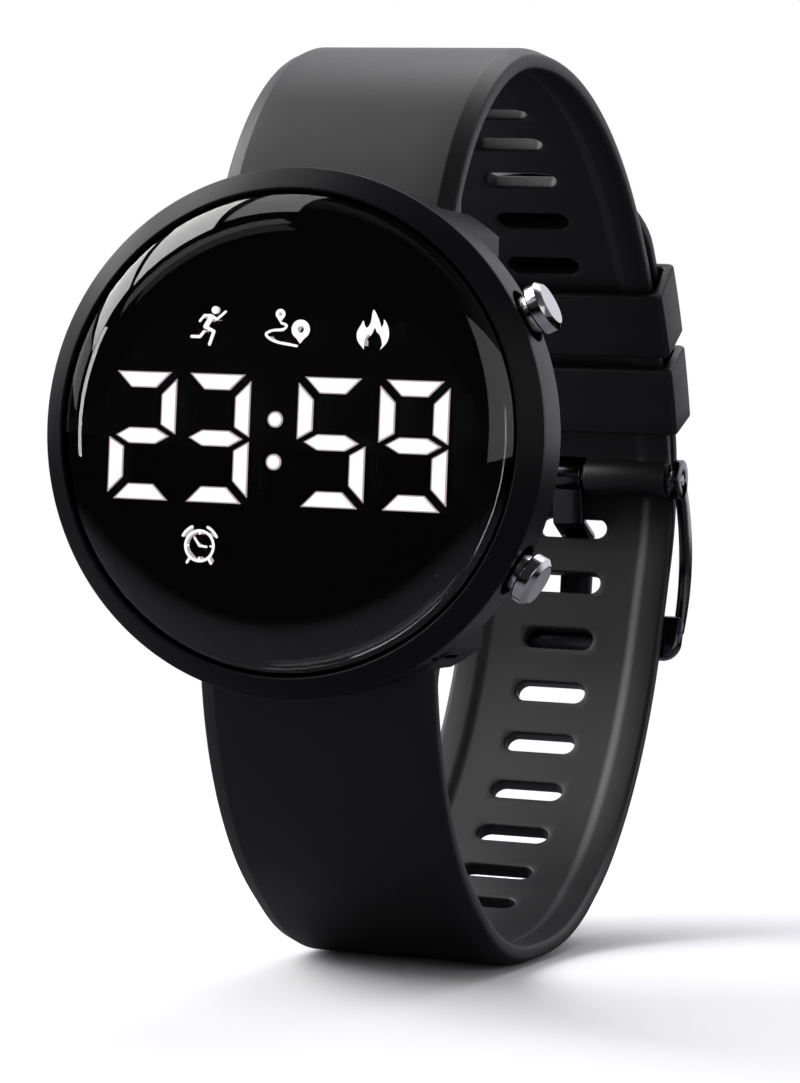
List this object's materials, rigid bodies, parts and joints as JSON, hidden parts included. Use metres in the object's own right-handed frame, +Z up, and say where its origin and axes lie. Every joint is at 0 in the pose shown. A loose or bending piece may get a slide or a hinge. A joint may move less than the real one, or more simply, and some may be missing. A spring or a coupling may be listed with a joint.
{
  "type": "digital wristwatch",
  "caption": "Round black digital watch with a domed lens, lit bar digits, side pushers and a closed silicone strap with slots, keepers and a pin buckle.",
  "frame": {"origin": "on the floor under the strap's flat spot, in the middle of the watch's width", "axes": "+Z up, -Y out of the dial, +X to the side of the pushers"},
  "size_m": [0.0415, 0.0824, 0.0781],
  "materials": {
    "case_black": "satin",
    "bezel_black": "satin",
    "lens_smoke": "gloss",
    "mask_black": "matte",
    "light_white": "satin",
    "light_off": "satin",
    "gasket_rubber": "matte",
    "board_green": "satin",
    "lamp_white": "satin",
    "chip_black": "matte",
    "frame_grey": "matte",
    "cell_metal": "satin",
    "spring_steel": "satin",
    "sounder_brass": "satin",
    "back_steel": "satin",
    "pusher_metal": "polished",
    "buckle_metal": "polished",
    "strap_rubber": "matte"
  },
  "bodies": {
    "watch": {"case_body": "case_black", "bezel_ring": "bezel_black", "lens": "lens_smoke", "lens_gasket": "gasket_rubber", "display_mask": "mask_black", "lit_segments": "light_white", "dark_segments": "light_off", "colon_dots": "light_white", "display_icons": "light_white", "leds": "lamp_white", "led_board": "board_green", "module_frame": "frame_grey", "main_board": "board_green", "controller_chip": "chip_black", "crystal_can": "spring_steel", "motion_sensor": "chip_black", "battery_contact": "spring_steel", "battery_cell": "cell_metal", "battery_clip": "spring_steel", "sounder_disc": "sounder_brass", "case_back": "back_steel", "case_back_gasket": "gasket_rubber", "case_back_screws": "spring_steel", "upper_pusher_spring": "spring_steel", "lower_pusher_spring": "spring_steel", "upper_pusher_seal": "gasket_rubber", "lower_pusher_seal": "gasket_rubber", "upper_switch_contact": "spring_steel", "lower_switch_contact": "spring_steel", "upper_lug_bar": "spring_steel", "lower_lug_bar": "spring_steel", "strap_short": "strap_rubber", "strap_long": "strap_rubber"},
    "upper_button": {"upper_pusher": "pusher_metal", "upper_pusher_clip": "spring_steel"},
    "lower_button": {"lower_pusher": "pusher_metal", "lower_pusher_clip": "spring_steel"},
    "upper_loop": {"upper_keeper": "strap_rubber"},
    "lower_loop": {"lower_keeper": "strap_rubber"},
    "buckle": {"buckle_frame": "buckle_metal", "buckle_bar": "spring_steel"},
    "tongue": {"buckle_tongue": "buckle_metal"}
  },
  "joints": [
    {"name": "upper_button_press", "type": "slide", "parent": "watch", "child": "upper_button", "axis": [-0.8805, 0, -0.4741], "range_m": [0, 0.0007], "stiffness_N_per_m": 900, "springref_m": -0.0004, "deforming": ["upper_pusher_spring", "upper_switch_contact"]},
    {"name": "lower_button_press", "type": "slide", "parent": "watch", "child": "lower_button", "axis": [-0.8805, 0, 0.4741], "range_m": [0, 0.0007], "stiffness_N_per_m": 900, "springref_m": -0.0004, "deforming": ["lower_pusher_spring", "lower_switch_contact"]},
    {"name": "upper_loop_slide", "type": "hinge", "parent": "watch", "child": "upper_loop", "pos_m": [0, -0.01437, 0.02682], "axis": [1, 0, 0], "range_deg": [-0.3, 8]},
    {"name": "lower_loop_slide", "type": "hinge", "parent": "watch", "child": "lower_loop", "pos_m": [0, -0.01437, 0.02682], "axis": [1, 0, 0], "range_deg": [-1.2, 0.9]},
    {"name": "buckle_play", "type": "hinge", "parent": "watch", "child": "buckle", "pos_m": [0, 0.03545, 0.04225], "axis": [1, 0, 0], "range_deg": [-1, 2]},
    {"name": "tongue_play", "type": "hinge", "parent": "watch", "child": "tongue", "pos_m": [0, 0.03545, 0.04225], "axis": [1, 0, 0], "range_deg": [-1, 2]}
  ],
  "couplings": [
    {"joint": "tongue_play", "follows": "buckle_play", "ratio": 1}
  ]
}
